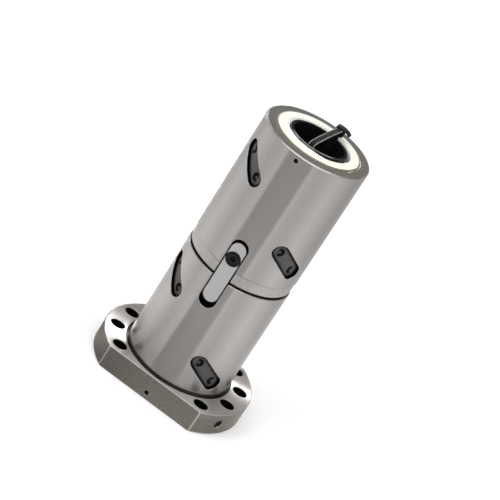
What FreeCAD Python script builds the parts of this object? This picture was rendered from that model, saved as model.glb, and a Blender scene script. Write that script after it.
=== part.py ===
import FreeCAD, Part
import math
import os
import re
import Sketcher

# Double ball nut with a bolting flange, delivered on a plastic arbor that keeps its balls in place.
# The nut's axis is Z, the flange's back face is z = 0, and the key that joins the two nuts faces -Y.
# Angles are measured from -Y towards +X, seen from above, and lengths are in millimetres.

Vector = FreeCAD.Vector
doc = FreeCAD.newDocument("ball_nut")

# Driving dimensions
SIZES = {
    "nut_diameter": 63,
    "bore_diameter": 42.6,
    "flanged_nut_length": 84,
    "spacer_length": 8,
    "plain_nut_length": 76,
    "shoulder_chamfer": 0.5,
    "end_chamfer": 0.7,
    "seam_chamfer": 0.3,
    "flange_diameter": 93,
    "flange_thickness": 14,
    "flange_across_flats": 70,
    "flange_chamfer": 0.6,
    "relief_width": 1.8,
    "relief_depth": 1,
    "undercut_depth": 0.4,
    "undercut_height": 0.7,
    "bolt_hole_diameter": 9,
    "bolt_first_angle": 45,
    "bolt_last_angle": 135,
    "lead": 10,
    "ball_diameter": 6.35,
    "arbor_ball_gap": 0.225,
    "groove_clearance": 0.125,
    "groove_flats": 10,
    "balls_per_circuit": 20,
    "first_circuit_angle": 41,
    "first_circuit_height": 28.7,
    "upper_circuit_angle": 50,
    "circuit_turn": 90,
    "circuit_rise": 12.5,
    "circuit_margin": 4,
    "crossing_length": 17,
    "crossing_lift": 2.6,
    "channel_clearance": 0.25,
    "slot_length": 27,
    "slot_width": 9.5,
    "slot_tilt": 35.5,
    "deflector_clearance": 0.2,
    "deflector_recess": 1.8,
    "dimple_diameter": 5,
    "dimple_boss_diameter": 1.8,
    "dimple_depth": 0.8,
    "dimple_rim": 0.35,
    "dimple_spacing": 16,
    "key_width": 10,
    "key_length": 40,
    "key_height": 5,
    "key_below_seam": 15.6,
    "key_flush": 0.5,
    "key_chamfer": 0.4,
    "keyway_clearance": 0.2,
    "keyway_below": 3.4,
    "keyway_above": 1.8,
    "key_seat_gap": 0.05,
    "key_screw_above_spacer": 5.7,
    "key_screw_head_diameter": 8.5,
    "key_screw_head_height": 3.4,
    "key_screw_diameter": 5,
    "key_screw_socket": 3,
    "key_screw_depth": 7.4,
    "screw_clearance": 0.2,
    "screw_hole_clearance": 0.05,
    "screw_tip_chamfer": 0.4,
    "spacer_diameter": 62,
    "spacer_bore_diameter": 49,
    "spacer_neck_diameter": 58,
    "spacer_neck_height": 1.3,
    "wiper_diameter": 51,
    "wiper_clearance": 0.1,
    "wiper_height": 5.7,
    "wiper_crown": 1,
    "wiper_bevel": 1.8,
    "wiper_land_diameter": 38.8,
    "wiper_rib_clearance": 0.35,
    "wiper_rib_root": 0.6,
    "wiper_rib_width": 3,
    "wiper_rib_angle": -17,
    "flange_wiper_set_back": 0.3,
    "wiper_screw_diameter": 2.6,
    "wiper_screw_below_face": 3.5,
    "wiper_screw_recess": 0.9,
    "wiper_screw_point_diameter": 1,
    "wiper_screw_point_length": 0.7,
    "wiper_screw_socket": 1.3,
    "wiper_screw_socket_depth": 1,
    "wiper_groove_clearance": 0.2,
    "grease_angle": 62,
    "grease_height": 7.2,
    "grease_bore_diameter": 5,
    "grease_bore_depth": 10,
    "grease_chamfer": 0.6,
    "grease_channel_diameter": 2,
    "arbor_diameter": 34.8,
    "arbor_wall": 1.8,
    "arbor_stand_out": 1.7,
    "arbor_cut_drop": 1.4,
    "arbor_set_back": 0.5,
    "tie_width": 3.6,
    "tie_thickness": 1.2,
    "tie_depth": 24,
    "tie_side_gap": 1,
    "tie_front_rise": 3.2,
    "tie_back_rise": 6.6,
    "tie_front_offset": -1.9,
    "tie_return_offset": 2.9,
    "tie_bend_radius": 2.4,
    "tie_head_width": 5.8,
    "tie_head_length": 5,
    "tie_head_height": 5.4,
    "tie_head_offset": 0.6,
    "tie_tail_out": 3,
    "tie_tail_drop": 4,
    "tie_tail_root": 0.5,
    "tie_head_gap": 0.4,
    "tie_head_chamfer": 1,
    "tie_slot_clearance": 0.3,
    "tie_hook_set_back": 1.2,
}

sheet = doc.addObject("Spreadsheet::Sheet", "sizes")
for row, (alias, size) in enumerate(SIZES.items(), 1):
    sheet.set(f"A{row}", alias)
    sheet.set(f"B{row}", str(size))
    sheet.setAlias(f"B{row}", alias)
doc.recompute()

# Places worked out from the driving dimensions
NUT_RADIUS = "nut_diameter / 2"
BORE_RADIUS = "bore_diameter / 2"
SPACER_TOP = "(flanged_nut_length + spacer_length)"
NUT_TOP = f"({SPACER_TOP} + plain_nut_length)"
WIPER_RECESS_RADIUS = "(wiper_diameter / 2 + wiper_clearance)"
UPPER_RECESS_FLOOR = f"({NUT_TOP} + wiper_crown - wiper_height)"
LOWER_RECESS_FLOOR = "(wiper_height + flange_wiper_set_back)"
KEY_TOP = f"({NUT_RADIUS} - key_flush)"
KEYWAY_FLOOR = f"({KEY_TOP} - key_height - key_seat_gap)"
KEY_START = "(flanged_nut_length - key_below_seam)"
KEY_END = f"({KEY_START} + key_length)"
KEY_SCREW_HEIGHT = f"({SPACER_TOP} + key_screw_above_spacer)"
BOLT_CIRCLE_RADIUS = "(nut_diameter / 2 + flange_diameter / 2) / 2"
ARBOR_RADIUS = "arbor_diameter / 2"
BALL_CIRCLE_RADIUS = "(arbor_diameter / 2 + arbor_ball_gap + ball_diameter / 2)"
GROOVE_RADIUS = "(ball_diameter / 2 + groove_clearance)"
DEFLECTOR_TOP = f"({NUT_RADIUS} - deflector_recess)"
UPPER_SCREW_HEIGHT = f"({NUT_TOP} - wiper_screw_below_face)"
LOWER_SCREW_HEIGHT = "(wiper_screw_below_face + flange_wiper_set_back)"
ARBOR_TOP = f"({NUT_TOP} + arbor_stand_out)"
TIE_FLOOR = f"({NUT_TOP} - tie_depth)"
GROOVE_CROSSING = "(first_circuit_height + lead / 2 + lead * (90 - first_circuit_angle) / 360)"

# Counts: the grooves start whole turns away from the first circuit, and angles along a circuit are in degrees
CIRCUITS_PER_NUT = 4
GROOVE_START_TURNS = 4
CIRCUIT_STEPS = 1440
CHANNEL_REACH = 52
CHANNEL_STEP = 4


def formula(text):
    """A formula whose size names are read from the sheet."""
    return re.sub(r"[a-z_]+", lambda word: f"sizes.{word[0]}" if word[0] in SIZES else word[0], text)


def amount(text):
    """The present value of a formula."""
    result = sheet.evalExpression(text)
    return result.Value if hasattr(result, "Value") else float(result)


def bind(item, **formulas):
    """Ties properties of an object to formulas over the sheet."""
    for name, text in formulas.items():
        item.setExpression(name, formula(text))


def frame_at(angle, height, out="0"):
    """Formula of a frame whose Z points outwards from the axis, at an angle and a height."""
    return (
        f"placement(vector(0; 0; {height}); vector(0; 0; 1); {angle})"
        f" * placement(vector(0; 0 - ({out}); 0); vector(1; 0; 0); 90)"
    )


def turned_to(angle, height):
    """Formula that turns a piece about the nut's axis and lifts it."""
    return f"placement(vector(0; 0; {height}); vector(0; 0; 1); {angle})"


# Sketches

def own_plane(body, role):
    return next(feature for feature in body.Origin.OriginFeatures if feature.Role == role)


def body_sketch(body, name, role, offset=None):
    """A sketch on one of a body's own origin planes, moved along its normal by a formula."""
    sketch = body.newObject("Sketcher::SketchObject", name)
    sketch.AttachmentSupport = [(own_plane(body, role), "")]
    sketch.MapMode = "FlatFace"
    if offset is not None:
        sketch.setExpression("AttachmentOffset.Base.z", formula(offset))
    return sketch


def fix_point(sketch, edge, end, across, along):
    """Holds a sketch point at two formulas, measured from the sketch's origin."""
    for kind, axis, text in (("DistanceX", -2, across), ("DistanceY", -1, along)):
        if text == "0":
            sketch.addConstraint(Sketcher.Constraint("PointOnObject", edge, end, axis))
        else:
            number = sketch.addConstraint(Sketcher.Constraint(kind, -1, 1, edge, end, amount(text)))
            sketch.setExpression(f"Constraints[{number}]", formula(text))


def outline(sketch, corners):
    """Draws a closed outline of straight edges through corners given as pairs of formulas."""
    points = [Vector(amount(across), amount(along), 0) for across, along in corners]
    count = len(points)
    for number in range(count):
        sketch.addGeometry(Part.LineSegment(points[number], points[(number + 1) % count]), False)
    for number in range(count):
        sketch.addConstraint(Sketcher.Constraint("Coincident", number, 2, (number + 1) % count, 1))
    for number, (across, along) in enumerate(corners):
        fix_point(sketch, number, 1, across, along)
    return sketch


def round_outline(sketch, across, along, radius):
    """Draws one circle."""
    circle = sketch.addGeometry(
        Part.Circle(Vector(amount(across), amount(along), 0), Vector(0, 0, 1), amount(radius)), False
    )
    fix_point(sketch, circle, 3, across, along)
    number = sketch.addConstraint(Sketcher.Constraint("Radius", circle, amount(radius)))
    sketch.setExpression(f"Constraints[{number}]", formula(radius))
    return sketch


def obround_outline(sketch, first, second, radius):
    """Draws an outline with two round ends, whose centres are pairs of formulas."""
    start = Vector(amount(first[0]), amount(first[1]), 0)
    finish = Vector(amount(second[0]), amount(second[1]), 0)
    size = amount(radius)
    along = (finish - start).normalize()
    side = Vector(-along.y, along.x, 0) * size
    heading = math.atan2(along.y, along.x)
    quarter = math.pi / 2
    up = Vector(0, 0, 1)
    sketch.addGeometry(
        [
            Part.LineSegment(start - side, finish - side),
            Part.ArcOfCircle(Part.Circle(finish, up, size), heading - quarter, heading + quarter),
            Part.LineSegment(finish + side, start + side),
            Part.ArcOfCircle(Part.Circle(start, up, size), heading + quarter, heading + 3 * quarter),
        ],
        False,
    )
    for before, after in ((0, 1), (1, 2), (2, 3), (3, 0)):
        sketch.addConstraint(Sketcher.Constraint("Tangent", before, 2, after, 1))
    fix_point(sketch, 1, 3, *second)
    fix_point(sketch, 3, 3, *first)
    number = sketch.addConstraint(Sketcher.Constraint("Radius", 1, size))
    sketch.setExpression(f"Constraints[{number}]", formula(radius))
    return sketch


# Features

def turned_body(name, profile):
    """A body turned about Z from a profile of (radius, height) formulas."""
    body = doc.addObject("PartDesign::Body", name)
    sketch = outline(body_sketch(body, f"{name}_profile", "YZ_Plane"), profile)
    turning = body.newObject("PartDesign::Revolution", f"{name}_turning")
    turning.Profile = sketch
    turning.ReferenceAxis = (sketch, ["V_Axis"])
    turning.Angle = 360
    doc.recompute()
    return body


def pad(body, sketch, length, midplane=False):
    """Thickens a sketch by a formula, to both sides where midplane is set."""
    feature = body.newObject("PartDesign::Pad", f"{sketch.Name}_pad")
    feature.Profile = sketch
    feature.Midplane = midplane
    bind(feature, Length=length)
    doc.recompute()
    return feature


def pocket(body, sketch, length=None, reverse=False, midplane=False):
    """Cuts a sketch into a body, to a depth or through all of it, and makes sure that something went."""
    before = body.Shape.Volume
    feature = body.newObject("PartDesign::Pocket", f"{sketch.Name}_cut")
    feature.Profile = sketch
    feature.Reversed = reverse
    feature.Midplane = midplane
    if length is None:
        feature.Type = "ThroughAll"
    else:
        bind(feature, Length=length)
    doc.recompute()
    if body.Shape.Volume >= before:
        raise RuntimeError(f"{feature.Name} cut nothing")
    return feature


def wound_body(name, section_shape, rise):
    """A body wound about Z with the thread's lead, from a section drawn in the XZ plane."""
    body = doc.addObject("PartDesign::Body", name)
    section = section_shape(body_sketch(body, f"{name}_section", "XZ_Plane"))
    winding = body.newObject("PartDesign::AdditiveHelix", f"{name}_winding")
    winding.Profile = section
    winding.ReferenceAxis = (section, ["V_Axis"])
    winding.Mode = "pitch-height-angle"
    bind(winding, Pitch="lead", Height=rise)
    doc.recompute()
    return body


def ball_groove(name, start, rise):
    """The cutter for a nut's ball groove, of flats around the balls, from a height in the XZ plane."""
    path = doc.addObject("Part::Helix", f"{name}_path")
    bind(path, Pitch="lead", Height=rise, Radius=BALL_CIRCLE_RADIUS, Placement=turned_to("0", start))
    section = doc.addObject("Part::RegularPolygon", f"{name}_section")
    bind(
        section,
        Polygon="groove_flats",
        Circumradius=f"{GROOVE_RADIUS} / cos(180deg / groove_flats)",
        Placement=(
            f"placement(vector({BALL_CIRCLE_RADIUS}; 0; {start}); vector(1; 0; 0); 90)"
            " * placement(vector(0; 0; 0); vector(0; 0; 1); 180 / groove_flats)"
        ),
    )
    doc.recompute()
    groove = doc.addObject("Part::Sweep", name)
    groove.Sections = [section]
    groove.Spine = (path, [])
    groove.Solid = True
    groove.Frenet = True
    return groove


def loose_sketch(name):
    """A sketch in the XZ plane whose normal points outwards at angle 0."""
    sketch = doc.addObject("Sketcher::SketchObject", name)
    sketch.Placement = FreeCAD.Placement(Vector(0, 0, 0), Vector(1, 0, 0), 90)
    return sketch


def extrusion(name, sketch, length):
    """A solid drawn out of a loose sketch along its normal."""
    block = doc.addObject("Part::Extrusion", name)
    block.Base = sketch
    block.DirMode = "Normal"
    block.Solid = True
    bind(block, LengthFwd=length)
    return block


def cylinder(name, radius, height, place=None):
    rod = doc.addObject("Part::Cylinder", name)
    bind(rod, Radius=radius, Height=height)
    if place is not None:
        bind(rod, Placement=place)
    return rod


def fused(name, pieces):
    union = doc.addObject("Part::MultiFuse", name)
    union.Shapes = pieces
    return union


def cut(name, base, tool):
    difference = doc.addObject("Part::Cut", name)
    difference.Base = base
    difference.Tool = tool
    return difference


def common(name, base, tool):
    overlap = doc.addObject("Part::Common", name)
    overlap.Base = base
    overlap.Tool = tool
    return overlap


def copy_at(name, master, place):
    """A copy of a master piece, placed by a formula."""
    copy = doc.addObject("Part::Compound", name)
    copy.Links = [master]
    bind(copy, Placement=place)
    return copy


# Ball circuits: one turn of the thread closed by a crossing over the land between two turns

def circuit_place(nut, number):
    """Formula for the place of one circuit, whose deflector's centre is at angle 0 and height 0."""
    angle = "first_circuit_angle" if nut == "lower" else "upper_circuit_angle"
    height = "first_circuit_height"
    if nut == "upper":
        turns = f"round(({SPACER_TOP} - circuit_margin - circuit_rise / 2) / lead)"
        height = f"{height} + lead * {turns} + (upper_circuit_angle - first_circuit_angle) / 360 * lead"
    return turned_to(f"{angle} + {number} * circuit_turn", f"{height} + {number} * circuit_rise")


def circuit_point(degrees):
    """The ball centre at an angle from the deflector, from -180 to 180 degrees."""
    lead = amount("lead")
    radius = amount(BALL_CIRCLE_RADIUS)
    swing = math.radians(degrees) * radius / (amount("crossing_length") / 2)
    height = lead * degrees / 360
    if abs(swing) >= 1:
        height -= math.copysign(lead / 2, degrees)
    else:
        height -= lead / 2 * math.sin(math.pi / 2 * swing)
        radius += amount("crossing_lift") * (1 + math.cos(math.pi * swing)) / 2
    turn = math.radians(degrees)
    return Vector(radius * math.sin(turn), -radius * math.cos(turn), height)


def ball_centres():
    """Evenly spaced places for the balls along one closed circuit."""
    path = [circuit_point(-180 + 360 * step / CIRCUIT_STEPS) for step in range(CIRCUIT_STEPS + 1)]
    travelled = [0.0]
    for before, after in zip(path, path[1:]):
        travelled.append(travelled[-1] + (after - before).Length)
    count = int(amount("balls_per_circuit"))
    centres = []
    step = 0
    for ball in range(count):
        wanted = travelled[-1] * (ball + 0.5) / count
        while travelled[step + 1] < wanted:
            step += 1
        centres.append(path[step])
    return centres


def circuit_masters():
    """The slot cutter, the deflector and the ball set of one circuit."""
    half = "(slot_length - slot_width) / 2"
    left = (f"0 - {half} * cos(slot_tilt * 1deg)", f"{half} * sin(slot_tilt * 1deg)")
    right = (f"{half} * cos(slot_tilt * 1deg)", f"0 - {half} * sin(slot_tilt * 1deg)")
    slot_sketch = obround_outline(loose_sketch("slot_outline"), left, right, "slot_width / 2")
    cutter = extrusion("slot_cutter", slot_sketch, "nut_diameter")

    insert_sketch = loose_sketch("deflector_outline")
    obround_outline(insert_sketch, left, right, "slot_width / 2 - deflector_clearance")
    insert_block = extrusion("deflector_block", insert_sketch, "nut_diameter")
    low = turned_to("0", "0 - slot_length")
    wall_outside = cylinder("deflector_outside", DEFLECTOR_TOP, "2 * slot_length", low)
    wall_inside = cylinder("deflector_inside", BORE_RADIUS, "2 * slot_length", low)
    wall = cut("deflector_wall", wall_outside, wall_inside)
    blank = common("deflector_blank", insert_block, wall)

    channel = doc.addObject("Part::Feature", "deflector_channel")
    points = [circuit_point(degrees) for degrees in range(-CHANNEL_REACH, CHANNEL_REACH + 1, CHANNEL_STEP)]
    curve = Part.BSplineCurve()
    curve.interpolate(points)
    path = Part.Wire([curve.toShape()])
    section = Part.Wire(
        [Part.makeCircle(amount("ball_diameter / 2 + channel_clearance"), points[0], curve.tangent(0)[0])]
    )
    channel.Shape = path.makePipeShell([section], True, False)

    tools = [channel]
    for side, sign in (("left", "0 -"), ("right", "")):
        across = f"{sign} dimple_spacing / 2 * cos(slot_tilt * 1deg)"
        along = f"0 - ({sign} dimple_spacing / 2 * sin(slot_tilt * 1deg))"
        bottom = f"0 - ({DEFLECTOR_TOP} - dimple_depth - dimple_rim)"
        place = f"placement(vector({across}; {bottom}; {along}); vector(1; 0; 0); 90)"
        dimple = cylinder(f"{side}_dimple", "dimple_diameter / 2", "2 * deflector_recess", place)
        boss = cylinder(f"{side}_dimple_boss", "dimple_boss_diameter / 2", "dimple_depth", place)
        tools.append(cut(f"{side}_dimple_ring", dimple, boss))
    deflector = cut("deflector", blank, fused("deflector_cuts", tools))

    balls = doc.addObject("Part::Feature", "ball_set")
    ball_radius = amount("ball_diameter / 2")
    balls.Shape = Part.makeCompound([Part.makeSphere(ball_radius, centre) for centre in ball_centres()])
    return cutter, deflector, balls


# Nuts and what is let into them

def keyway_cutter():
    """The round-ended slot for the key, open outwards and running through both nuts and the spacer."""
    reach = "key_width / 2"
    sketch = obround_outline(
        loose_sketch("keyway_outline"),
        ("0", f"{KEY_START} - keyway_below + {reach} + keyway_clearance"),
        ("0", f"{KEY_END} + keyway_above - {reach} - keyway_clearance"),
        f"{reach} + keyway_clearance",
    )
    block = extrusion("keyway_block", sketch, "nut_diameter")
    floor = doc.addObject("Part::Box", "keyway_floor")
    bind(
        floor,
        Length="2 * key_width",
        Width=KEYWAY_FLOOR,
        Height=NUT_TOP,
        Placement=f"placement(vector(0 - key_width; 0 - {KEYWAY_FLOOR}; 0); vector(0; 0; 1); 0)",
    )
    return cut("keyway_cutter", block, floor)


def screw_hole(name, height):
    """A radial hole through a nut's wall for a wiper screw."""
    radius = "wiper_screw_diameter / 2 + screw_hole_clearance"
    return cylinder(name, radius, "flange_diameter / 2", frame_at("0", height, "wiper_land_diameter / 2"))


def flanged_nut(slot_cutter, keyway):
    rim = "flange_diameter / 2"
    relief = f"{NUT_RADIUS} + relief_width"
    body = turned_body(
        "flanged_nut_blank",
        [
            (WIPER_RECESS_RADIUS, "0"),
            (f"{rim} - flange_chamfer", "0"),
            (rim, "flange_chamfer"),
            (rim, "flange_thickness - flange_chamfer"),
            (f"{rim} - flange_chamfer", "flange_thickness"),
            (relief, "flange_thickness"),
            (relief, "flange_thickness - relief_depth"),
            (f"{NUT_RADIUS} - undercut_depth", "flange_thickness - relief_depth"),
            (f"{NUT_RADIUS} - undercut_depth", "flange_thickness + undercut_height"),
            (NUT_RADIUS, "flange_thickness + undercut_height + undercut_depth"),
            (NUT_RADIUS, "flanged_nut_length - shoulder_chamfer"),
            (f"{NUT_RADIUS} - shoulder_chamfer", "flanged_nut_length"),
            (BORE_RADIUS, "flanged_nut_length"),
            (BORE_RADIUS, LOWER_RECESS_FLOOR),
            (WIPER_RECESS_RADIUS, LOWER_RECESS_FLOOR),
        ],
    )
    edge = "flange_across_flats / 2"
    for side, sign in (("front", "0 -"), ("rear", "")):
        sketch = body_sketch(body, f"{side}_flat", "XY_Plane")
        outline(
            sketch,
            [
                (f"0 - {rim}", f"{sign} {edge}"),
                (rim, f"{sign} {edge}"),
                (rim, f"{sign} {rim}"),
                (f"0 - {rim}", f"{sign} {rim}"),
            ],
        )
        pocket(body, sketch, "flange_thickness", reverse=True)
    hole = body_sketch(body, "bolt_hole", "XY_Plane")
    round_outline(
        hole,
        f"{BOLT_CIRCLE_RADIUS} * sin(bolt_first_angle * 1deg)",
        f"0 - {BOLT_CIRCLE_RADIUS} * cos(bolt_first_angle * 1deg)",
        "bolt_hole_diameter / 2",
    )
    first_hole = pocket(body, hole, "flange_thickness", reverse=True)
    holes = body.newObject("PartDesign::MultiTransform", "bolt_holes")
    holes.Originals = [first_hole]
    turn = body.newObject("PartDesign::PolarPattern", "bolt_holes_right")
    turn.Axis = (hole, ["N_Axis"])
    turn.Occurrences = 4
    bind(turn, Angle="bolt_last_angle - bolt_first_angle")
    mirror = body.newObject("PartDesign::Mirrored", "bolt_holes_left")
    mirror.MirrorPlane = (own_plane(body, "YZ_Plane"), [""])
    holes.Transformations = [turn, mirror]
    body.Tip = holes
    doc.recompute()
    start = f"({GROOVE_CROSSING} - {GROOVE_START_TURNS} * lead)"
    groove = ball_groove("flanged_nut_groove", start, f"flanged_nut_length - {start} + ball_diameter")

    port_mouth = doc.addObject("Part::Cone", "grease_port_mouth")
    bind(
        port_mouth,
        Radius1="grease_bore_diameter / 2",
        Radius2="grease_bore_diameter / 2 + 2 * grease_chamfer",
        Height="2 * grease_chamfer",
        Placement=frame_at("grease_angle", "grease_height", f"{rim} - grease_chamfer"),
    )
    port_bore = cylinder(
        "grease_port_bore",
        "grease_bore_diameter / 2",
        "grease_bore_depth + grease_chamfer",
        frame_at("grease_angle", "grease_height", f"{rim} - grease_bore_depth"),
    )
    port_channel = cylinder(
        "grease_port_channel",
        "grease_channel_diameter / 2",
        f"{rim} - wiper_land_diameter / 2",
        frame_at("grease_angle", "grease_height", "wiper_land_diameter / 2"),
    )
    slots = [
        copy_at(f"lower_slot_{number + 1}", slot_cutter, circuit_place("lower", number))
        for number in range(CIRCUITS_PER_NUT)
    ]
    hole = screw_hole("flange_wiper_screw_hole", LOWER_SCREW_HEIGHT)
    tools = fused("flanged_nut_cuts", [keyway, port_mouth, port_bore, port_channel, hole] + slots)
    return cut("flanged_nut", cut("flanged_nut_slotted", body, tools), groove)


def plain_nut(slot_cutter, keyway):
    bottom = SPACER_TOP
    body = turned_body(
        "plain_nut_blank",
        [
            (BORE_RADIUS, bottom),
            (f"{NUT_RADIUS} - seam_chamfer", bottom),
            (NUT_RADIUS, f"{bottom} + seam_chamfer"),
            (NUT_RADIUS, f"{NUT_TOP} - end_chamfer"),
            (f"{NUT_RADIUS} - end_chamfer", NUT_TOP),
            (WIPER_RECESS_RADIUS, NUT_TOP),
            (WIPER_RECESS_RADIUS, UPPER_RECESS_FLOOR),
            (BORE_RADIUS, UPPER_RECESS_FLOOR),
        ],
    )
    start = f"({GROOVE_CROSSING} + {GROOVE_START_TURNS} * lead)"
    groove = ball_groove("plain_nut_groove", start, f"{NUT_TOP} - {start} + ball_diameter")
    slots = [
        copy_at(f"upper_slot_{number + 1}", slot_cutter, circuit_place("upper", number))
        for number in range(CIRCUITS_PER_NUT)
    ]
    tapped_hole = cylinder(
        "key_screw_hole",
        "key_screw_diameter / 2 + screw_hole_clearance",
        "key_screw_depth",
        frame_at("0", KEY_SCREW_HEIGHT, f"{KEY_TOP} - key_screw_depth - screw_clearance"),
    )
    hole = screw_hole("end_wiper_screw_hole", UPPER_SCREW_HEIGHT)
    tools = fused("plain_nut_cuts", [keyway, tapped_hole, hole] + slots)
    return cut("plain_nut", cut("plain_nut_slotted", body, tools), groove)


def spacer_ring(keyway):
    outer = "spacer_diameter / 2"
    neck = "spacer_neck_diameter / 2"
    bottom = "flanged_nut_length"
    shoulder = "flanged_nut_length + spacer_neck_height"
    blank = turned_body(
        "spacer_ring_blank",
        [
            ("spacer_bore_diameter / 2", bottom),
            (neck, bottom),
            (neck, shoulder),
            (f"{outer} - seam_chamfer", shoulder),
            (outer, f"{shoulder} + seam_chamfer"),
            (outer, f"{SPACER_TOP} - seam_chamfer"),
            (f"{outer} - seam_chamfer", SPACER_TOP),
            ("spacer_bore_diameter / 2", SPACER_TOP),
        ],
    )
    return cut("spacer_ring", blank, keyway)


def key():
    body = doc.addObject("PartDesign::Body", "key")
    end = "key_width / 2"
    sketch = body_sketch(body, "key_outline", "XZ_Plane", f"{KEY_TOP} - key_height")
    obround_outline(sketch, ("0", f"{KEY_START} + {end}"), ("0", f"{KEY_END} - {end}"), end)
    pad(body, sketch, "key_height")
    top = body_sketch(body, "key_screw_seat", "XZ_Plane", KEY_TOP)
    round_outline(top, "0", KEY_SCREW_HEIGHT, "key_screw_head_diameter / 2 + screw_clearance")
    pocket(body, top, "key_screw_head_height + screw_clearance")
    through = body_sketch(body, "key_screw_way", "XZ_Plane", KEY_TOP)
    round_outline(through, "0", KEY_SCREW_HEIGHT, "key_screw_diameter / 2 + screw_clearance")
    pocket(body, through)
    return body


def socket_screw(name, profile, socket, depth, place):
    """A screw turned along Z with its tip at 0 and a hexagon socket in its top."""
    body = turned_body(name, profile)
    top = profile[-1][1]
    sketch = body_sketch(body, f"{name}_socket", "XY_Plane", top)
    corner = f"{socket} / 2 / cos(30deg)"
    corners = [(f"{corner} * cos({60 * side}deg)", f"{corner} * sin({60 * side}deg)") for side in range(6)]
    corners[0] = (corner, "0")
    corners[3] = (f"0 - {corner}", "0")
    outline(sketch, corners)
    pocket(body, sketch, depth)
    bind(body, Placement=place)
    return body


def key_screw():
    shank = "key_screw_diameter / 2"
    head = "key_screw_head_diameter / 2"
    under_head = "(key_screw_depth - key_screw_head_height)"
    profile = [
        ("0", "0"),
        (f"{shank} - screw_tip_chamfer", "0"),
        (shank, "screw_tip_chamfer"),
        (shank, under_head),
        (head, under_head),
        (head, "key_screw_depth - seam_chamfer"),
        (f"{head} - seam_chamfer", "key_screw_depth"),
        ("0", "key_screw_depth"),
    ]
    place = frame_at("0", KEY_SCREW_HEIGHT, f"{KEY_TOP} - key_screw_depth")
    return socket_screw("key_screw", profile, "key_screw_socket", "key_screw_head_height / 2", place)


def wiper_screw(name, height):
    radius = "wiper_screw_diameter / 2"
    point = "wiper_screw_point_diameter / 2"
    neck = "wiper_screw_point_length"
    length = f"({NUT_RADIUS} - wiper_screw_recess - wiper_diameter / 2 + {neck})"
    profile = [
        ("0", "0"),
        (point, "0"),
        (point, f"{neck} + wiper_clearance"),
        (radius, f"{neck} + wiper_clearance + screw_tip_chamfer"),
        (radius, length),
        ("0", length),
    ]
    place = frame_at("0", height, f"wiper_diameter / 2 - {neck}")
    return socket_screw(name, profile, "wiper_screw_socket", "wiper_screw_socket_depth", place)


def wiper(name, groove_height, place):
    """A plastic wiper ring with a bevelled crown and a rib that follows the screw's thread."""
    outer = "wiper_diameter / 2"
    land = "wiper_land_diameter / 2"
    seat = "wiper_height - wiper_crown"
    slack = "wiper_screw_point_diameter / 2 + wiper_groove_clearance"
    groove_floor = f"{outer} - wiper_screw_point_length - wiper_groove_clearance"
    profile = [
        (land, "0"),
        (outer, "0"),
        (outer, f"{groove_height} - ({slack})"),
        (groove_floor, f"{groove_height} - ({slack})"),
        (groove_floor, f"{groove_height} + {slack}"),
        (outer, f"{groove_height} + {slack}"),
        (outer, seat),
        (f"{outer} - wiper_bevel", "wiper_height"),
        (f"{land} + seam_chamfer", "wiper_height"),
        (land, "wiper_height - seam_chamfer"),
    ]
    ring = turned_body(f"{name}_ring", profile)
    middle = "wiper_height + lead * (90 - wiper_rib_angle) / 360 - lead"
    root = f"{land} + wiper_rib_root"
    tip = f"{ARBOR_RADIUS} + wiper_rib_clearance"
    section = [
        (root, f"{middle} - wiper_rib_width / 2"),
        (tip, f"{middle} - wiper_rib_width / 4"),
        (tip, f"{middle} + wiper_rib_width / 4"),
        (root, f"{middle} + wiper_rib_width / 2"),
    ]
    rib = wound_body(f"{name}_rib", lambda sketch: outline(sketch, section), "lead")
    inside = cylinder(f"{name}_height_limit", "wiper_diameter / 2", "wiper_height")
    piece = fused(name, [ring, common(f"{name}_rib_trimmed", rib, inside)])
    bind(piece, Placement=place)
    return piece


# Arbor and tie

def arbor_tube():
    outer = ARBOR_RADIUS
    inner = f"({ARBOR_RADIUS} - arbor_wall)"
    body = turned_body(
        "arbor_tube",
        [
            (inner, "arbor_set_back"),
            (f"{outer} - seam_chamfer", "arbor_set_back"),
            (outer, "arbor_set_back + seam_chamfer"),
            (outer, ARBOR_TOP),
            (inner, ARBOR_TOP),
        ],
    )
    sketch = body_sketch(body, "arbor_end_slant", "YZ_Plane")
    outline(
        sketch,
        [
            (f"0 - {outer}", ARBOR_TOP),
            (outer, f"{ARBOR_TOP} - arbor_cut_drop"),
            (outer, f"{ARBOR_TOP} + arbor_cut_drop"),
            (f"0 - {outer}", f"{ARBOR_TOP} + arbor_cut_drop"),
        ],
    )
    pocket(body, sketch, "2 * arbor_diameter", midplane=True)
    for side, sign, offset in (("front", "0 -", "tie_front_offset"), ("rear", "", "tie_return_offset")):
        slot = body_sketch(body, f"{side}_tie_slot", "XZ_Plane")
        width = "(tie_width / 2 + tie_slot_clearance)"
        low = f"{TIE_FLOOR} - tie_slot_clearance"
        high = f"{TIE_FLOOR} + tie_thickness + tie_slot_clearance"
        outline(
            slot,
            [
                (f"{offset} - {width}", low),
                (f"{offset} + {width}", low),
                (f"{offset} + {width}", high),
                (f"{offset} - {width}", high),
            ],
        )
        pocket(body, slot, reverse=(side == "front"))
    return body


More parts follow.
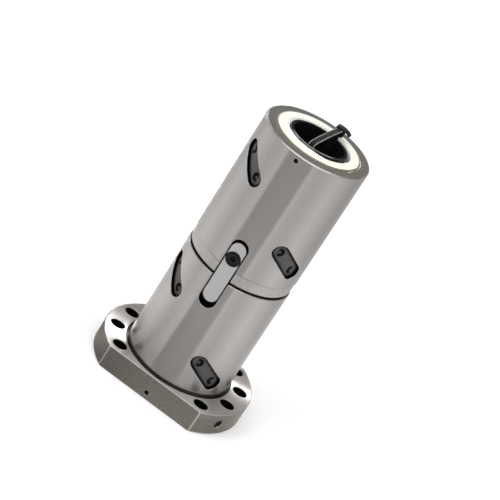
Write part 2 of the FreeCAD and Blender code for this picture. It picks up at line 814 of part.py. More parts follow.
def cable_tie():
    body = doc.addObject("PartDesign::Body", "cable_tie")
    strap = "tie_thickness"
    wall = f"({ARBOR_RADIUS} - arbor_wall - tie_side_gap)"
    front = f"0 - {wall}"
    front_top = f"({NUT_TOP} + tie_front_rise)"
    back_top = f"({NUT_TOP} + tie_back_rise)"
    bend = "tie_bend_radius"
    head_front = f"({wall} + tie_head_gap)"

    floor = body_sketch(body, "tie_floor_strand", "XY_Plane", TIE_FLOOR)
    reach = f"({ARBOR_RADIUS} - tie_hook_set_back)"
    half = "tie_width / 2"
    outline(
        floor,
        [
            (f"tie_front_offset - {half}", f"0 - {reach}"),
            (f"tie_front_offset + {half}", f"0 - {reach}"),
            (f"tie_return_offset + {half}", reach),
            (f"tie_return_offset - {half}", reach),
        ],
    )
    pad(body, floor, strap)

    front_strand = body_sketch(body, "tie_front_strand", "YZ_Plane", "tie_front_offset")
    outline(
        front_strand,
        [
            (front, TIE_FLOOR),
            (f"{front} + {strap}", TIE_FLOOR),
            (f"{front} + {strap}", f"{front_top} - {bend}"),
            (f"{front} + {strap} + {bend} / 2", f"{front_top} - {strap}"),
            (f"{head_front} + tie_head_chamfer", f"{back_top} - {strap}"),
            (f"{head_front} + tie_head_chamfer", back_top),
            (head_front, back_top),
            (f"{front} + {bend}", front_top),
            (front, f"{front_top} - {bend}"),
        ],
    )
    pad(body, front_strand, "tie_width", midplane=True)

    head = body_sketch(body, "tie_head", "YZ_Plane", "tie_head_offset")
    head_low = f"{back_top} + {strap} - tie_head_height"
    head_back = f"{head_front} + tie_head_length"
    outline(
        head,
        [
            (head_front, head_low),
            (f"{head_back} - tie_head_chamfer", head_low),
            (head_back, f"{head_low} + tie_head_chamfer"),
            (head_back, f"{back_top} + {strap} - tie_head_chamfer"),
            (f"{head_back} - tie_head_chamfer", f"{back_top} + {strap}"),
            (head_front, f"{back_top} + {strap}"),
        ],
    )
    pad(body, head, "tie_head_width", midplane=True)

    back_strand = body_sketch(body, "tie_return_strand", "YZ_Plane", "tie_return_offset")
    outline(
        back_strand,
        [
            (wall, TIE_FLOOR),
            (wall, f"{head_low} - tie_head_chamfer"),
            (f"{head_front} + 2 * tie_head_chamfer", f"{head_low} + tie_head_chamfer"),
            (head_front, f"{head_low} + tie_head_chamfer"),
            (f"{wall} - {strap}", head_low),
            (f"{wall} - {strap}", TIE_FLOOR),
        ],
    )
    pad(body, back_strand, "tie_width", midplane=True)

    tail = body_sketch(body, "tie_tail", "XZ_Plane", f"0 - ({head_front} + tie_head_length / 2)")
    side = "tie_head_offset + tie_head_width / 2"
    outline(
        tail,
        [
            (f"{side} - tie_tail_root", back_top),
            (f"{side} - tie_tail_root", f"{back_top} - {strap}"),
            (f"{side} + tie_tail_out - {strap}", f"{back_top} - tie_tail_drop"),
            (f"{side} + tie_tail_out", f"{back_top} - tie_tail_drop"),
            (f"{side} + {strap}", back_top),
        ],
    )
    pad(body, tail, "tie_width", midplane=True)
    return body


def main():
    slot_cutter, deflector, balls = circuit_masters()
    keyway = keyway_cutter()
    parts = [
        flanged_nut(slot_cutter, keyway),
        plain_nut(slot_cutter, keyway),
        spacer_ring(keyway),
        key(),
        key_screw(),
        wiper_screw("flange_wiper_screw", LOWER_SCREW_HEIGHT),
        wiper_screw("end_wiper_screw", UPPER_SCREW_HEIGHT),
        arbor_tube(),
        cable_tie(),
    ]
    seat = LOWER_RECESS_FLOOR
    flipped = f"placement(vector(0; 0; {seat}); vector(1; 0; 0); 180)"
    parts.append(wiper("flange_wiper", f"({seat} - {LOWER_SCREW_HEIGHT})", flipped))
    upright = turned_to("0", UPPER_RECESS_FLOOR)
    parts.append(wiper("end_wiper", f"({UPPER_SCREW_HEIGHT} - {UPPER_RECESS_FLOOR})", upright))
    for nut in ("lower", "upper"):
        for number in range(CIRCUITS_PER_NUT):
            place = circuit_place(nut, number)
            parts.append(copy_at(f"{nut}_deflector_{number + 1}", deflector, place))
            parts.append(copy_at(f"{nut}_balls_{number + 1}", balls, place))
    doc.recompute()

    for item in doc.Objects:
        if any(state in ("Invalid", "Error") for state in item.State):
            raise RuntimeError(f"{item.Name} failed: {item.State}")
    for part in parts:
        part.Label = part.Name
        if part.Shape.isNull() or not part.Shape.isValid() or not part.Shape.Solids:
            raise RuntimeError(f"{part.Name} has no valid solid")

    os.makedirs("parts", exist_ok=True)
    for part in parts:
        part.Shape.exportStep(f"parts/{part.Label}.step")
        box = part.Shape.BoundBox
        print(f"{part.Label}: {len(part.Shape.Solids)} solid, {part.Shape.Volume:.1f} mm3, z {box.ZMin:.2f} to {box.ZMax:.2f}")


main()
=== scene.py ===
import math

import bmesh
import bpy
from mathutils import Matrix, Vector


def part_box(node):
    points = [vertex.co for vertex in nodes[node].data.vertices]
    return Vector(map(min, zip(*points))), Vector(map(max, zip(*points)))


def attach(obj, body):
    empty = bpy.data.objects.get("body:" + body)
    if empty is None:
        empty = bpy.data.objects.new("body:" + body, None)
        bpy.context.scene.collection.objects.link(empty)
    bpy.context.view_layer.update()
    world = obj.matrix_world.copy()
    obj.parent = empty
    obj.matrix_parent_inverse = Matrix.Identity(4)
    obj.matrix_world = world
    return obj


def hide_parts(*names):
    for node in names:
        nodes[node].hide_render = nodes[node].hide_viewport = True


# A double ball nut standing on its bolting flange, with a plastic arbor tied in its bore.
# Everything is in metres. The nut's axis is Z, the key faces -Y, and angles run from -Y towards +X.

MM = 0.001

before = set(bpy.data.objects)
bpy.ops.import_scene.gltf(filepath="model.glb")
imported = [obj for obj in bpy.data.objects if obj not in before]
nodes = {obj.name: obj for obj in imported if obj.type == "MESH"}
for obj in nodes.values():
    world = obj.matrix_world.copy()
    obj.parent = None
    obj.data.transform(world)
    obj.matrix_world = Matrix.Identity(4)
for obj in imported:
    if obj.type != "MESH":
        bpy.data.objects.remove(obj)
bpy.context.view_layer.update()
collection = bpy.context.scene.collection

# Sizes read from the frame
plain_low, plain_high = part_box("plain_nut")
flanged_low, flanged_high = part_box("flanged_nut")
wiper_low, wiper_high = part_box("end_wiper")
arbor_low, arbor_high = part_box("arbor_tube")
tie_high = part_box("cable_tie")[1]
key_low, key_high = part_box("key")
screw_low, screw_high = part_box("key_screw")
NUT_RADIUS = (plain_high.x - plain_low.x) / 2
NUT_TOP = plain_high.z
FLANGE_RADIUS = (flanged_high.x - flanged_low.x) / 2
FLANGE_FRONT = flanged_low.y
ARBOR_RADIUS = (arbor_high.x - arbor_low.x) / 2

# Sizes that the frame's boxes don't give
FLANGE_THICKNESS = 14 * MM
SLOT_SHADE_DEPTH = 0.5 * MM
CHAMFER_DEPTH = 0.75 * MM
RELIEF_RADIUS = 33.3 * MM
INSERT_RECESS = 1.8 * MM
WIPER_BEVEL = 1.8 * MM
WIPER_LAND_RADIUS = 19.4 * MM
ARBOR_WALL = 1.8 * MM


# Camera: a long lens from the front right, rolled so that the nut leans to the right

CAMERA_SIDE = math.radians(7.89)
CAMERA_ELEVATION = math.radians(25.15)
CAMERA_ROLL = math.radians(32.77)
CAMERA_DISTANCE = 1.2205
CAMERA_AIM = Vector((0.0006, 0.0001, 0.0932))
SENSOR_WIDTH = 36.0
LENS = 162.6


def make_camera():
    data = bpy.data.cameras.new("camera")
    data.sensor_width = SENSOR_WIDTH
    data.lens = LENS
    data.clip_end = 20
    camera = bpy.data.objects.new("camera", data)
    back = Vector((
        math.sin(CAMERA_SIDE) * math.cos(CAMERA_ELEVATION),
        -math.cos(CAMERA_SIDE) * math.cos(CAMERA_ELEVATION),
        math.sin(CAMERA_ELEVATION),
    ))
    turn = (-back).to_track_quat("-Z", "Y").to_matrix().to_4x4()
    place = Matrix.Translation(CAMERA_AIM + back * CAMERA_DISTANCE)
    camera.matrix_world = place @ turn @ Matrix.Rotation(CAMERA_ROLL, 4, "Z")
    collection.objects.link(camera)
    bpy.context.scene.camera = camera


# Node helpers

class Tree:
    """Short calls to build a node tree."""

    def __init__(self, tree):
        self.tree = tree

    def node(self, kind, settings=None, **inputs):
        made = self.tree.nodes.new(kind)
        for name, value in (settings or {}).items():
            setattr(made, name, value)
        for name, value in inputs.items():
            self.feed(made.inputs[name.replace("_", " ")], value)
        return made

    def feed(self, socket, value):
        if isinstance(value, bpy.types.NodeSocket):
            self.tree.links.new(value, socket)
        else:
            socket.default_value = value

    def fed(self, kind, settings, *values):
        """A node whose first inputs take these values in order."""
        made = self.node(kind, settings)
        for socket, value in zip(made.inputs, values):
            self.feed(socket, value)
        return made

    def math(self, operation, first, second=0.0, clamp=False):
        settings = {"operation": operation, "use_clamp": clamp}
        return self.fed("ShaderNodeMath", settings, first, second).outputs[0]

    def spread(self, value, low, high, out_low=0.0, out_high=1.0):
        """Maps a value from one range to another and holds it there."""
        return self.fed("ShaderNodeMapRange", None, value, low, high, out_low, out_high).outputs[0]

    def fade(self, value, low, high):
        """1 up to a value, falling to 0 at a higher one."""
        return self.spread(value, low, high, 1.0, 0.0)

    def band(self, value, low, high, soft):
        """1 between two values, with a soft step inside each."""
        return self.times(self.spread(value, low, low + soft), self.fade(value, high - soft, high))

    def times(self, first, *others):
        for other in others:
            first = self.math("MULTIPLY", first, other)
        return first

    def most(self, first, *others):
        for other in others:
            first = self.math("MAXIMUM", first, other)
        return first

    def plus(self, value, added, share):
        """A value with a share of another added."""
        return self.math("ADD", value, self.math("MULTIPLY", added, share))

    def length(self, first, second):
        return self.math("SQRT", self.math("ADD", self.times(first, first), self.times(second, second)))

    def axes(self):
        """The piece's own coordinates, which move with it."""
        place = self.node("ShaderNodeTexCoord").outputs["Object"]
        return self.node("ShaderNodeSeparateXYZ", Vector=place).outputs

    def mix(self, factor, first, second, blend="MIX"):
        """A blend of two colours, by the Mix node's colour sockets."""
        made = self.node("ShaderNodeMix", {"data_type": "RGBA", "blend_type": blend})
        for index, value in ((0, factor), (6, first), (7, second)):
            self.feed(made.inputs[index], value)
        return made.outputs[2]

    def shaded(self, colour, level):
        """A colour times a grey level that changes over the surface."""
        grey = self.node("ShaderNodeCombineColor", Red=level, Green=level, Blue=level)
        return self.mix(1.0, colour, grey.outputs[0], "MULTIPLY")

    def group(self, group, **inputs):
        return self.node("ShaderNodeGroup", {"node_tree": group}, **inputs).outputs


FLOAT = "NodeSocketFloat"
VECTOR = "NodeSocketVector"
GEOMETRY = "NodeSocketGeometry"
MATERIAL = "NodeSocketMaterial"


def new_group(kind, name, inputs, outputs):
    """An empty node group with its given and its result sockets; an input is a number or a socket type."""
    group = bpy.data.node_groups.new(name, kind)
    for label, value in inputs.items():
        is_number = isinstance(value, float)
        socket_type = FLOAT if is_number else value
        socket = group.interface.new_socket(name=label, in_out="INPUT", socket_type=socket_type)
        if is_number:
            socket.default_value = value
    for label, socket_type in outputs.items():
        group.interface.new_socket(name=label, in_out="OUTPUT", socket_type=socket_type)
    tree = Tree(group)
    return tree, tree.node("NodeGroupInput").outputs, tree.node("NodeGroupOutput").inputs


# Surface effects that several materials share

def round_coordinates(tree):
    """Distance from the axis, and height."""
    x, y, z = tree.axes()
    return tree.length(x, y), z


def grinding_marks_group():
    """Fine rings left by turning and grinding, which follow height on walls and radius on faces."""
    inputs = {"Pitch": 0.4 * MM, "Wander": 2.0}
    tree, given, result = new_group("ShaderNodeTree", "grinding_marks", inputs, {"Value": FLOAT})
    x, y, z = tree.axes()
    turn = tree.math("ARCTAN2", y, x)
    travel = tree.math("DIVIDE", tree.math("ADD", tree.length(x, y), z), given["Pitch"])
    around = tree.times(tree.math("SINE", turn), given["Wander"])
    beside = tree.times(tree.math("COSINE", turn), given["Wander"])
    point = tree.node("ShaderNodeCombineXYZ", X=travel, Y=around, Z=beside)
    noise = tree.node("ShaderNodeTexNoise", Vector=point.outputs[0], Scale=1.0, Detail=3.0, Roughness=0.6)
    tree.feed(result["Value"], noise.outputs[0])
    return tree.tree


def edge_light_group():
    """Rounded edges: a mask that is 1 on an edge, and the rounded normal."""
    inputs = {"Reach": 0.35 * MM, "Strength": 3.0}
    outputs = {"Mask": FLOAT, "Normal": VECTOR}
    tree, given, result = new_group("ShaderNodeTree", "edge_light", inputs, outputs)
    bevel = tree.node("ShaderNodeBevel", {"samples": 6}, Radius=given["Reach"])
    flat = tree.node("ShaderNodeNewGeometry").outputs["Normal"]
    likeness = tree.fed("ShaderNodeVectorMath", {"operation": "DOT_PRODUCT"}, bevel.outputs[0], flat)
    turned = tree.math("SUBTRACT", 1.0, likeness.outputs["Value"])
    tree.feed(result["Mask"], tree.math("MULTIPLY", turned, given["Strength"], clamp=True))
    tree.feed(result["Normal"], bevel.outputs[0])
    return tree.tree


def noise_group(name, size, detail, roughness, middle):
    """Uneven patches of a given size, as a value round the middle."""
    tree, given, result = new_group("ShaderNodeTree", name, {"Size": size}, {"Value": FLOAT})
    place = tree.node("ShaderNodeTexCoord").outputs["Object"]
    scale = tree.math("DIVIDE", 1.0, given["Size"])
    noise = tree.node("ShaderNodeTexNoise", Vector=place, Scale=scale, Detail=detail, Roughness=roughness)
    tree.feed(result["Value"], tree.math("ADD", noise.outputs[0], middle - 0.5))
    return tree.tree


# A point with no more than this share of its surroundings closed off counts as open
OPEN_ENOUGH = 0.15


def crevice_group():
    """A mask that is 1 in narrow gaps and along the foot of a wall, where shade is painted."""
    inputs = {"Reach": 1 * MM, "Strength": 2.0}
    tree, given, result = new_group("ShaderNodeTree", "crevice", inputs, {"Mask": FLOAT})
    shadow = tree.node("ShaderNodeAmbientOcclusion", {"samples": 8}, Distance=given["Reach"])
    closed = tree.math("SUBTRACT", 1.0 - OPEN_ENOUGH, shadow.outputs["AO"])
    tree.feed(result["Mask"], tree.math("MULTIPLY", closed, given["Strength"], clamp=True))
    return tree.tree


GRINDING = grinding_marks_group()
EDGES = edge_light_group()
CREVICE = crevice_group()

# Wiped oil and finger marks, a value round 0, and the grain of blasted steel or moulded plastic
FILM = noise_group("oil_film", 18 * MM, 4.0, 0.55, 0.0)
SPECKLE = noise_group("speckle", 0.6 * MM, 5.0, 0.7, 0.5)

# Most of a noise lies in this range
GRAIN = (0.3, 0.7)

# Base colours
BARREL = (0.63, 0.60, 0.58, 1)
FLANGE = (0.44, 0.42, 0.395, 1)
END_FACE = (0.25, 0.24, 0.222, 1)
# Painted highlight on the nuts' edges
NUT_EDGE_HIGHLIGHT = (0.84, 0.83, 0.82, 1)
# Rubbed wear with a painted highlight on the flange's edges
RUBBED_EDGE_HIGHLIGHT = (0.95, 0.93, 0.90, 1)
# Painted shade deep in the nuts' slots, holes and bore
DEPTH_SHADE = (0.012, 0.011, 0.010, 1)
SPACER = (0.80, 0.775, 0.74, 1)
SPACER_EDGE = (0.65, 0.64, 0.62, 1)
KEY = (0.97, 0.955, 0.96, 1)
# Painted shadow line round the key
KEY_SHADOW_LINE = (0.03, 0.03, 0.028, 1)
BALL = (0.75, 0.75, 0.76, 1)
OXIDE = (0.05, 0.05, 0.052, 1)
# Painted highlight on the black oxide's edges
OXIDE_EDGE_HIGHLIGHT = (0.16, 0.16, 0.16, 1)
THREAD = (0.20, 0.19, 0.18, 1)
# Painted highlight on the thread's edges
THREAD_EDGE_HIGHLIGHT = (0.5, 0.49, 0.48, 1)
# Painted shade inside the arbor
ARBOR_INSIDE_SHADE = (0.002, 0.002, 0.002, 1)
ARBOR_OUTSIDE = (0.013, 0.013, 0.014, 1)
# Painted highlight round the arbor's mouth
ARBOR_RIM_HIGHLIGHT = (0.32, 0.32, 0.31, 1)
TIE_BLACK = (0.004, 0.004, 0.004, 1)
# Painted highlight on the tie's rims
TIE_RIM_HIGHLIGHT = (0.34, 0.34, 0.33, 1)
INSERT_GREY = (0.062, 0.062, 0.063, 1)
# Painted shade on the ball inserts
INSERT_SHADE = (0.002, 0.002, 0.002, 1)
WIPER_WALL = (0.80, 0.79, 0.675, 1)
# Painted light on the wiper's inner land
WIPER_LAND_LIGHT = (1.0, 1.0, 0.93, 1)
# Painted shade round the wiper's outer bevel
WIPER_BEVEL_SHADE = (0.13, 0.12, 0.06, 1)


def new_material(name):
    material = bpy.data.materials.new(name)
    material.use_nodes = True
    return material, Tree(material.node_tree), material.node_tree.nodes["Principled BSDF"]


def dress_shader(tree, shader, colour, rough, grain, strength, normal=None, depth=0.05 * MM):
    """Feeds a material its colour, its roughness and the relief of its grain."""
    tree.feed(shader.inputs["Base Color"], colour)
    tree.feed(shader.inputs["Roughness"], rough)
    bump = tree.node("ShaderNodeBump", Strength=strength, Distance=depth, Height=grain)
    if normal is not None:
        tree.feed(bump.inputs["Normal"], normal)
    tree.feed(shader.inputs["Normal"], bump.outputs[0])


def ground_steel():
    """The nuts: ground bright, warmer and darker on the flange, with painted shade that makes them almost
    black deep inside and a painted highlight on their edges.
    """
    material, tree, shader = new_material("ground_steel")
    marks = tree.group(GRINDING, Pitch=0.35 * MM)["Value"]
    coarse = tree.group(GRINDING, Pitch=2.6 * MM, Wander=3.0)["Value"]
    film = tree.group(FILM, Size=22 * MM)["Value"]
    blotches = tree.group(SPECKLE, Size=1.6 * MM)["Value"]
    edges = tree.group(EDGES, Reach=0.6 * MM, Strength=4.0)
    radius, height = round_coordinates(tree)
    depth = tree.math("ABSOLUTE", tree.axes()["Y"])

    # Barrel, flange and end face
    end_face = tree.spread(height, NUT_TOP - 0.3 * MM, NUT_TOP - 0.1 * MM)
    on_flange = tree.times(
        tree.spread(radius, RELIEF_RADIUS + 0.1 * MM, RELIEF_RADIUS + 0.6 * MM),
        tree.fade(height, FLANGE_THICKNESS - 0.5 * MM, FLANGE_THICKNESS - 0.2 * MM),
    )
    colour = tree.mix(on_flange, BARREL, FLANGE)
    streaks = tree.spread(marks, *GRAIN, 0.985, 1.01)
    colour = tree.shaded(colour, tree.times(streaks, tree.spread(coarse, *GRAIN, 0.99, 1.01)))
    mottled = tree.shaded(colour, tree.spread(blotches, *GRAIN, 0.84, 1.14))
    colour = tree.mix(on_flange, colour, mottled)
    colour = tree.mix(end_face, colour, END_FACE)
    # Edges are painted lighter, as a painted highlight
    colour = tree.mix(edges["Mask"], colour, NUT_EDGE_HIGHLIGHT)

    # The flange's corners and upper edge are painted bright: rubbed wear with a painted edge highlight
    by_flat = tree.spread(depth, -FLANGE_FRONT - 0.55 * MM, -FLANGE_FRONT - 0.25 * MM)
    by_round = tree.spread(radius, FLANGE_RADIUS - 0.5 * MM, FLANGE_RADIUS - 0.25 * MM)
    by_top = tree.spread(height, FLANGE_THICKNESS - 0.5 * MM, FLANGE_THICKNESS - 0.25 * MM)
    corner = tree.times(by_flat, by_round)
    upper = tree.times(by_top, tree.most(by_flat, by_round))
    colour = tree.mix(tree.most(corner, upper), colour, RUBBED_EDGE_HIGHLIGHT)

    # Slots, holes, relief ring and bore are painted dark below their mouths, as painted shade
    above_foot = tree.spread(height, CHAMFER_DEPTH, 2 * CHAMFER_DEPTH)
    in_barrel = tree.times(
        tree.fade(radius, NUT_RADIUS - SLOT_SHADE_DEPTH, NUT_RADIUS - 0.5 * SLOT_SHADE_DEPTH),
        tree.fade(height, NUT_TOP - 1.3 * CHAMFER_DEPTH, NUT_TOP - CHAMFER_DEPTH),
        above_foot,
    )
    in_flange = above_foot
    for distance, limit in ((height, FLANGE_THICKNESS), (radius, FLANGE_RADIUS), (depth, -FLANGE_FRONT)):
        inside = tree.fade(distance, limit - 1.3 * CHAMFER_DEPTH, limit - CHAMFER_DEPTH)
        in_flange = tree.times(in_flange, inside)
    in_relief = tree.times(
        tree.spread(radius, NUT_RADIUS + 0.15 * MM, NUT_RADIUS + 0.3 * MM),
        tree.spread(radius, RELIEF_RADIUS, RELIEF_RADIUS + 0.1 * MM, 0.8, 0.0),
        tree.fade(height, FLANGE_THICKNESS - 0.15 * MM, FLANGE_THICKNESS),
    )
    colour = tree.mix(tree.most(in_barrel, in_flange, in_relief), colour, DEPTH_SHADE)

    # The flange's upper face is turned coarser than the rest
    flange_top = tree.times(
        tree.spread(height, FLANGE_THICKNESS - 0.5 * MM, FLANGE_THICKNESS - 0.2 * MM),
        tree.fade(height, FLANGE_THICKNESS + 0.1 * MM, FLANGE_THICKNESS + 0.3 * MM),
    )
    rough = tree.plus(tree.spread(marks, 0.2, 0.8, 0.23, 0.26), film, 0.08)
    rough = tree.plus(rough, flange_top, 0.08)
    dress_shader(tree, shader, colour, rough, marks, 0.04, edges["Normal"], 0.02 * MM)

    # Grinding lines run round the nut, so reflections blur along it
    shader.inputs["Metallic"].default_value = 1.0
    shader.inputs["Anisotropic"].default_value = 1.0
    shader.inputs["Anisotropic Rotation"].default_value = 0.25
    tangent = tree.node("ShaderNodeTangent", {"direction_type": "RADIAL", "axis": "Z"}).outputs[0]
    tree.feed(shader.inputs["Tangent"], tree.mix(end_face, tangent, (1, 0, 0, 1)))
    return material


def steel(name, colour, edge_colour, roughness, grain, film_share=0.1, darkest=0.88, outline=None):
    """Bare steel with an even grain, its edges or a given outline in another colour, and some oil; a
    lighter edge colour is a painted highlight, and the key's dark outline is painted shade.
    """
    material, tree, shader = new_material(name)
    speckle = tree.group(SPECKLE, Size=grain)["Value"]
    film = tree.group(FILM, Size=9 * MM)["Value"]
    edges = tree.group(EDGES, Reach=0.25 * MM, Strength=3.0)
    mask = outline(tree) if outline else edges["Mask"]
    colour = tree.shaded(colour, tree.spread(speckle, *GRAIN, darkest, 1.08))
    colour = tree.mix(mask, colour, edge_colour)
    rough = tree.plus(tree.spread(speckle, *GRAIN, roughness - 0.05, roughness + 0.05), film, film_share)
    dress_shader(tree, shader, colour, rough, speckle, 0.25, edges["Normal"])
    shader.inputs["Metallic"].default_value = 1.0
    return material


def key_outline(tree):
    """A mask along the key's outline, a slot shape with round ends, where a shadow line is painted along
    the gap to its slot.
    """
    place = tree.axes()
    half_width = (key_high.x - key_low.x) / 2
    half_straight = (key_high.z - key_low.z) / 2 - half_width
    along = tree.math("ABSOLUTE", tree.math("SUBTRACT", place["Z"], (key_low.z + key_high.z) / 2))
    past_straight = tree.math("MAXIMUM", tree.math("SUBTRACT", along, half_straight), 0.0)
    reach = tree.length(place["X"], past_straight)
    return tree.spread(reach, half_width - 0.75 * MM, half_width - 0.5 * MM)


def arbor_plastic():
    """The arbor: black, painted darker inside as painted shade, with a painted highlight line round the
    outer edge of its mouth, and faint draw marks.
    """
    material, tree, shader = new_material("arbor_plastic")
    marks = tree.group(GRINDING, Pitch=0.8 * MM)["Value"]
    film = tree.group(FILM, Size=7 * MM)["Value"]
    radius, height = round_coordinates(tree)
    # Painted highlight line round the outer edge of the mouth
    painted_highlight = tree.times(
        tree.spread(height, arbor_high.z - 0.3 * MM, arbor_high.z - 0.15 * MM),
        tree.spread(radius, ARBOR_RADIUS - 0.6 * ARBOR_WALL, ARBOR_RADIUS - 0.45 * ARBOR_WALL),
        tree.spread(film, -0.15, 0.1, 0.3, 1.0),
    )
    outside = tree.spread(radius, ARBOR_RADIUS - 0.4 * MM, ARBOR_RADIUS - 0.15 * MM)
    # Painted shade: the inside of the tube is a darker copy of its black
    black = tree.mix(outside, ARBOR_INSIDE_SHADE, ARBOR_OUTSIDE)
    black = tree.shaded(black, tree.plus(tree.spread(marks, *GRAIN, 0.8, 1.2), film, 1.0))
    colour = tree.mix(painted_highlight, black, ARBOR_RIM_HIGHLIGHT)
    rough = tree.spread(outside, 0.0, 1.0, 0.8, 0.33)
    rough = tree.math("ADD", rough, tree.spread(marks, *GRAIN, -0.06, 0.06))
    dress_shader(tree, shader, colour, tree.plus(rough, film, 0.25), marks, 0.2)
    shader.inputs["Specular IOR Level"].default_value = 0.2
    return material


def tie_nylon():
    """The tie: black, with a painted highlight on its rims that fades out lower down, its hollows left
    black.
    """
    material, tree, shader = new_material("tie_nylon")
    speckle = tree.group(SPECKLE, Size=0.4 * MM)["Value"]
    film = tree.group(FILM, Size=4 * MM)["Value"]
    edges = tree.group(EDGES, Reach=0.3 * MM, Strength=1.2)
    rim = tree.node("ShaderNodeAttribute", {"attribute_name": "rim"}).outputs["Fac"]
    # Painted highlight along the rims and edges, fading out lower down
    painted_highlight = tree.times(
        tree.most(tree.spread(rim, 0.7, 1.0), edges["Mask"]),
        tree.spread(film, -0.25, 0.15, 0.35, 1.0),
        tree.spread(tree.axes()["Z"], NUT_TOP - 3 * MM, NUT_TOP + 0.5 * MM, 0.05, 1.0),
    )
    colour = tree.mix(painted_highlight, TIE_BLACK, TIE_RIM_HIGHLIGHT)
    rough = tree.plus(tree.spread(speckle, *GRAIN, 0.42, 0.55), film, 0.2)
    dress_shader(tree, shader, colour, rough, speckle, 0.1, edges["Normal"])
    shader.inputs["Specular IOR Level"].default_value = 0.18
    return material


def insert_plastic():
    """The ball inserts: dark grey, with painted shade that makes them almost black in their dimples, round
    their edges and in the gaps to their pockets.
    """
    material, tree, shader = new_material("insert_plastic")
    speckle = tree.group(SPECKLE, Size=0.35 * MM)["Value"]
    film = tree.group(FILM, Size=5 * MM)["Value"]
    edge = tree.group(EDGES, Reach=1.0 * MM, Strength=7.0)["Mask"]
    gap = tree.group(CREVICE, Reach=3.0 * MM, Strength=9.0)["Mask"]
    radius = round_coordinates(tree)[0]
    top = NUT_RADIUS - INSERT_RECESS
    # Painted shade in the dimples, round the edges and in the gaps
    dark = tree.most(tree.fade(radius, top - 0.35 * MM, top - 0.1 * MM), edge, gap)
    shade = tree.plus(tree.spread(speckle, *GRAIN, 0.85, 1.12), film, 0.4)
    colour = tree.mix(dark, tree.shaded(INSERT_GREY, shade), INSERT_SHADE)
    rough = tree.plus(tree.spread(dark, 0.0, 1.0, 0.4, 0.75), film, 0.2)
    dress_shader(tree, shader, colour, rough, speckle, 0.3)
    shader.inputs["Specular IOR Level"].default_value = 0.3
    return material


def wiper_plastic():
    """The wipers: pale cream, with a painted shade line round the outer bevel, painted light on the inner
    land, and fine turning lines.
    """
    material, tree, shader = new_material("wiper_plastic")
    marks = tree.group(GRINDING, Pitch=0.5 * MM)["Value"]
    film = tree.group(FILM, Size=5 * MM)["Value"]
    radius = round_coordinates(tree)[0]
    bevel_start = (wiper_high.x - wiper_low.x) / 2 - WIPER_BEVEL
    # Painted shade round the outer bevel
    bevel_shade = tree.spread(tree.plus(radius, film, 0.6 * MM), bevel_start + 0.7 * MM, bevel_start + 1.1 * MM)
    land = tree.fade(radius, WIPER_LAND_RADIUS + 0.1 * MM, WIPER_LAND_RADIUS + 0.4 * MM)
    # Painted light: the inner land is a brighter copy of the cream
    cream = tree.mix(land, WIPER_WALL, WIPER_LAND_LIGHT)
    cream = tree.shaded(cream, tree.plus(tree.spread(marks, *GRAIN, 0.97, 1.02), film, 0.12))
    colour = tree.mix(bevel_shade, cream, WIPER_BEVEL_SHADE)
    dress_shader(tree, shader, colour, tree.spread(bevel_shade, 0.0, 1.0, 0.5, 0.3), marks, 0.1)
    shader.inputs["Subsurface Weight"].default_value = 0.6
    shader.inputs["Subsurface Radius"].default_value = (1.0, 1.0, 0.85)
    shader.inputs["Subsurface Scale"].default_value = 3 * MM
    return material


# Studio: a white sweep, soft lights, and a tent that only reflections show

def glow(name, strength=1.0):
    """A material that only shines."""
    material = bpy.data.materials.new(name)
    material.use_nodes = True
    nodes_here = material.node_tree.nodes
    nodes_here.remove(nodes_here["Principled BSDF"])
    emission = nodes_here.new("ShaderNodeEmission")
    emission.inputs["Color"].default_value = (1, 1, 1, 1)
    emission.inputs["Strength"].default_value = strength
    material.node_tree.links.new(emission.outputs[0], nodes_here["Material Output"].inputs["Surface"])
    return material, Tree(material.node_tree), emission


def staged(name, mesh, material, only_reflections=True):
    """A piece of the studio, which isn't part of the object."""
    mesh.materials.append(material)
    thing = bpy.data.objects.new(name, mesh)
    collection.objects.link(thing)
    if only_reflections:
        thing.visible_camera = False
        thing.visible_diffuse = False
        thing.visible_shadow = False
        thing.visible_transmission = False
        thing.visible_volume_scatter = False
    return thing


def grey_by_angle(tree, degrees, stops):
    """Grey levels at angles from -180 to 180 degrees, blended between."""
    ramp = tree.node("ShaderNodeValToRGB", Fac=tree.spread(degrees, -180, 180))
    elements = ramp.color_ramp.elements
    while len(elements) < len(stops):
        elements.new(0.5)
    for element, (angle, level) in zip(elements, stops):
        element.position = (angle + 180) / 360
        element.color = (level, level, level, 1)
    return ramp.outputs[0]


def bearing(tree):
    """Height, and the angle round the nut in degrees from the key towards the right."""
    x, y, z = tree.axes()
    turn = tree.math("ARCTAN2", x, tree.math("MULTIPLY", y, -1.0))
    return z, tree.math("MULTIPLY", turn, 180 / math.pi)


TENT_RADIUS = 0.9
TENT_LOW = -0.9
TENT_HIGH = 1.5
TENT_SIDES = 96

# The tent's brightness by angle, as the bands along the photographed nuts show it
TENT_BANDS = [
    (-180, 0.78), (-156, 0.80), (-130, 0.64), (-98, 0.79), (-58, 0.55), (-31, 0.67), (-29, 0.335),
    (4, 0.38), (24, 0.36), (26, 0.66), (30, 0.67), (35, 0.585), (52, 0.56), (86, 0.76), (138, 0.49),
    (162, 0.64), (180, 0.78),
]

# The brightness of the table under the flange, by angle
TABLE_BANDS = [
    (-180, 0.5), (-125, 0.42), (-100, 0.22), (-75, 0.36), (-55, 0.20), (-30, 0.26), (0, 0.38),
    (30, 0.40), (70, 0.34), (110, 0.6), (180, 0.5),
]

